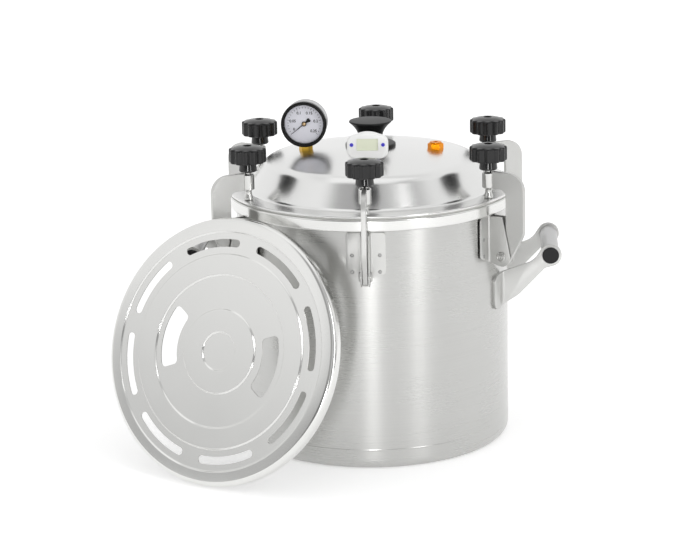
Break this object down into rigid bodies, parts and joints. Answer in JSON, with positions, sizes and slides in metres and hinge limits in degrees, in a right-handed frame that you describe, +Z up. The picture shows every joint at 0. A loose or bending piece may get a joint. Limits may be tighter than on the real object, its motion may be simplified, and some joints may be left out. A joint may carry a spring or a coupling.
{
  "type": "retort sterilizer",
  "caption": "Round stainless pot with a domed lid held by swing-out screw clamps round its rim, with gauge, thermometer and a perforated plate, for sterilizing sealed jars under pressure.",
  "frame": {"origin": "centre of the pot's base, on the floor", "axes": "+Z up along the pot's axis, front towards -Y, handles on the X axis"},
  "size_m": [0.4872, 0.4368, 0.3745],
  "materials": {
    "satin_steel": "satin ground stainless steel",
    "polished_steel": "polished stainless steel",
    "zinc_steel": "bright zinc plated steel",
    "silicone_gasket": "grey silicone",
    "black_plastic": "satin moulded black plastic",
    "black_enamel": "black enamel",
    "grey_enamel": "light grey enamel",
    "white_dial": "matt white dial",
    "gauge_glass": "clear flat glass",
    "brass": "turned brass",
    "orange_brass": "machined orange brass",
    "white_plastic": "moulded white plastic",
    "display_glass": "grey green liquid crystal display",
    "blue_rubber": "blue rubber buttons"
  },
  "bodies": {
    "vessel": {"pot_wall": "satin_steel", "pot_base": "satin_steel", "rim_band": "satin_steel", "lid_gasket": "silicone_gasket", "lid": "polished_steel", "lid_flange": "polished_steel", "lid_knob": "black_plastic", "gauge_fitting": "brass", "gauge_case": "grey_enamel", "gauge_bezel": "black_enamel", "gauge_dial": "white_dial", "gauge_needle": "black_enamel", "gauge_glass": "gauge_glass", "thermometer_head": "white_plastic", "thermometer_display": "display_glass", "thermometer_buttons": "blue_rubber", "thermometer_gland": "polished_steel", "relief_valve": "orange_brass", "perforated_plate": "polished_steel", "plate_edge": "polished_steel", "clamp_brackets": "satin_steel", "pivot_bolts": "zinc_steel", "right_handle_plates": "satin_steel", "right_handle_grip": "satin_steel", "right_handle_plugs": "black_plastic", "left_handle_plates": "satin_steel", "left_handle_grip": "satin_steel", "left_handle_plugs": "black_plastic", "clamp_arm_front_left": "satin_steel"},
    "arm_front": {"clamp_arm_front": "satin_steel"},
    "foot_front": {"clamp_foot_front": "zinc_steel"},
    "screw_front": {"clamp_screw_front": "zinc_steel", "clamp_knob_front": "black_plastic"},
    "arm_front_right": {"clamp_arm_front_right": "satin_steel"},
    "foot_front_right": {"clamp_foot_front_right": "zinc_steel"},
    "screw_front_right": {"clamp_screw_front_right": "zinc_steel", "clamp_knob_front_right": "black_plastic"},
    "arm_back_right": {"clamp_arm_back_right": "satin_steel"},
    "foot_back_right": {"clamp_foot_back_right": "zinc_steel"},
    "screw_back_right": {"clamp_screw_back_right": "zinc_steel", "clamp_knob_back_right": "black_plastic"},
    "arm_back": {"clamp_arm_back": "satin_steel"},
    "foot_back": {"clamp_foot_back": "zinc_steel"},
    "screw_back": {"clamp_screw_back": "zinc_steel", "clamp_knob_back": "black_plastic"},
    "arm_back_left": {"clamp_arm_back_left": "satin_steel"},
    "foot_back_left": {"clamp_foot_back_left": "zinc_steel"},
    "screw_back_left": {"clamp_screw_back_left": "zinc_steel", "clamp_knob_back_left": "black_plastic"},
    "foot_front_left": {"clamp_foot_front_left": "zinc_steel"},
    "screw_front_left": {"clamp_screw_front_left": "zinc_steel", "clamp_knob_front_left": "black_plastic"}
  },
  "joints": [
    {"name": "swing_front", "type": "hinge", "parent": "vessel", "child": "arm_front", "pos_m": [0, -0.166, 0.218], "axis": [1, 0, 0], "range_deg": [0, 140]},
    {"name": "lift_front", "type": "slide", "parent": "arm_front", "child": "foot_front", "axis": [0, 0, 1], "range_m": [0, 0.0038]},
    {"name": "turn_front", "type": "hinge", "parent": "foot_front", "child": "screw_front", "pos_m": [0, -0.148, 0.3], "axis": [0, 0, 1], "range_deg": [0, 1080]},
    {"name": "swing_front_right", "type": "hinge", "parent": "vessel", "child": "arm_front_right", "pos_m": [0.14376, -0.083, 0.218], "axis": [0.5, 0.866, 0], "range_deg": [0, 140]},
    {"name": "lift_front_right", "type": "slide", "parent": "arm_front_right", "child": "foot_front_right", "axis": [0, 0, 1], "range_m": [0, 0.0038]},
    {"name": "turn_front_right", "type": "hinge", "parent": "foot_front_right", "child": "screw_front_right", "pos_m": [0.12817, -0.074, 0.3], "axis": [0, 0, 1], "range_deg": [0, 1080]},
    {"name": "swing_back_right", "type": "hinge", "parent": "vessel", "child": "arm_back_right", "pos_m": [0.14376, 0.083, 0.218], "axis": [-0.5, 0.866, 0], "range_deg": [0, 140]},
    {"name": "lift_back_right", "type": "slide", "parent": "arm_back_right", "child": "foot_back_right", "axis": [0, 0, 1], "range_m": [0, 0.0038]},
    {"name": "turn_back_right", "type": "hinge", "parent": "foot_back_right", "child": "screw_back_right", "pos_m": [0.12817, 0.074, 0.3], "axis": [0, 0, 1], "range_deg": [0, 1080]},
    {"name": "swing_back", "type": "hinge", "parent": "vessel", "child": "arm_back", "pos_m": [0, 0.166, 0.218], "axis": [-1, 0, 0], "range_deg": [0, 140]},
    {"name": "lift_back", "type": "slide", "parent": "arm_back", "child": "foot_back", "axis": [0, 0, 1], "range_m": [0, 0.0038]},
    {"name": "turn_back", "type": "hinge", "parent": "foot_back", "child": "screw_back", "pos_m": [0, 0.148, 0.3], "axis": [0, 0, 1], "range_deg": [0, 1080]},
    {"name": "swing_back_left", "type": "hinge", "parent": "vessel", "child": "arm_back_left", "pos_m": [-0.14376, 0.083, 0.218], "axis": [-0.5, -0.866, 0], "range_deg": [0, 140]},
    {"name": "lift_back_left", "type": "slide", "parent": "arm_back_left", "child": "foot_back_left", "axis": [0, 0, 1], "range_m": [0, 0.0038]},
    {"name": "turn_back_left", "type": "hinge", "parent": "foot_back_left", "child": "screw_back_left", "pos_m": [-0.12817, 0.074, 0.3], "axis": [0, 0, 1], "range_deg": [0, 1080]},
    {"name": "lift_front_left", "type": "slide", "parent": "vessel", "child": "foot_front_left", "axis": [0, 0, 1], "range_m": [0, 0.0038]},
    {"name": "turn_front_left", "type": "hinge", "parent": "foot_front_left", "child": "screw_front_left", "pos_m": [-0.12817, -0.074, 0.3], "axis": [0, 0, 1], "range_deg": [0, 1080]}
  ],
  "couplings": [
    {"joint": "lift_front", "follows": "turn_front", "m_per_rad": 0.00019894},
    {"joint": "lift_front_right", "follows": "turn_front_right", "m_per_rad": 0.00019894},
    {"joint": "lift_back_right", "follows": "turn_back_right", "m_per_rad": 0.00019894},
    {"joint": "lift_back", "follows": "turn_back", "m_per_rad": 0.00019894},
    {"joint": "lift_back_left", "follows": "turn_back_left", "m_per_rad": 0.00019894},
    {"joint": "lift_front_left", "follows": "turn_front_left", "m_per_rad": 0.00019894}
  ]
}
